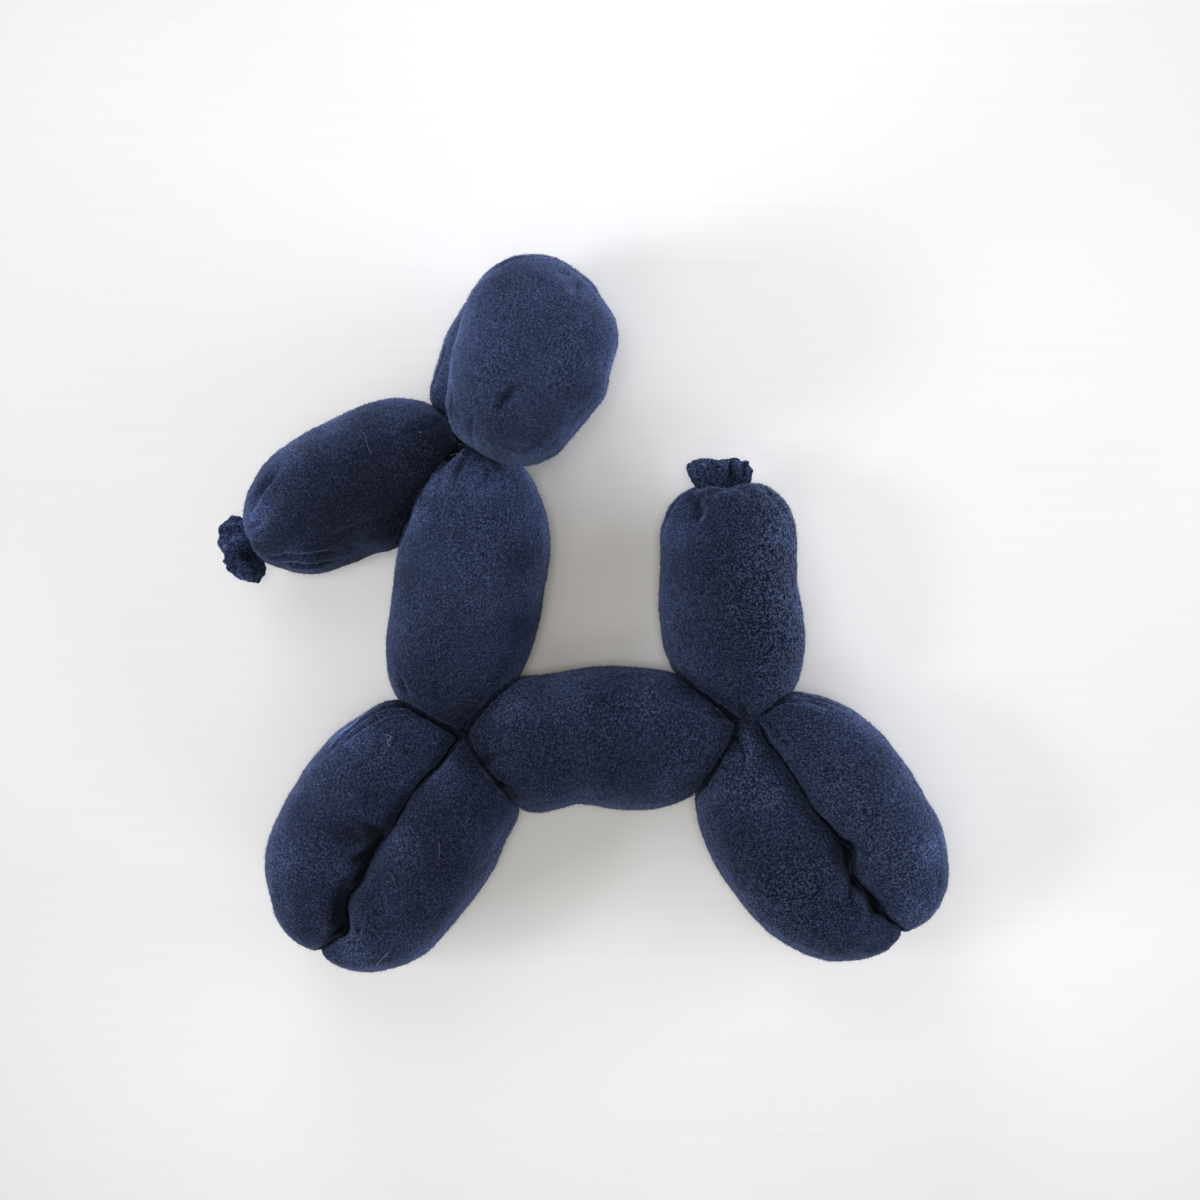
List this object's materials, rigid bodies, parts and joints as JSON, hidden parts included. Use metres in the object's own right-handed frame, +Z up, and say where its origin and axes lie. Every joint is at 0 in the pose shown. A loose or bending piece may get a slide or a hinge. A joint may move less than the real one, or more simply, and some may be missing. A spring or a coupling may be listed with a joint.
{
  "type": "balloon dog soft toy",
  "caption": "Soft stuffed toy dog: a fleece tube cinched into rounded lobes and folded like a twisted balloon animal, with gathered cuffs at nose and tail, lying on its side.",
  "frame": {"origin": "on the resting plane, below the middle of the toy's bounding box", "axes": "+Z up from the resting plane, through the toy's thickness; -X the way the nose points; +Y towards the tips of the ears and the tail, so the feet point to -Y"},
  "size_m": [0.2714, 0.2654, 0.1037],
  "materials": {
    "navy_fleece": "brushed fleece, matt with a short fuzzy nap"
  },
  "bodies": {
    "root": {"balloon_dog": "navy_fleece"}
  },
  "joints": []
}
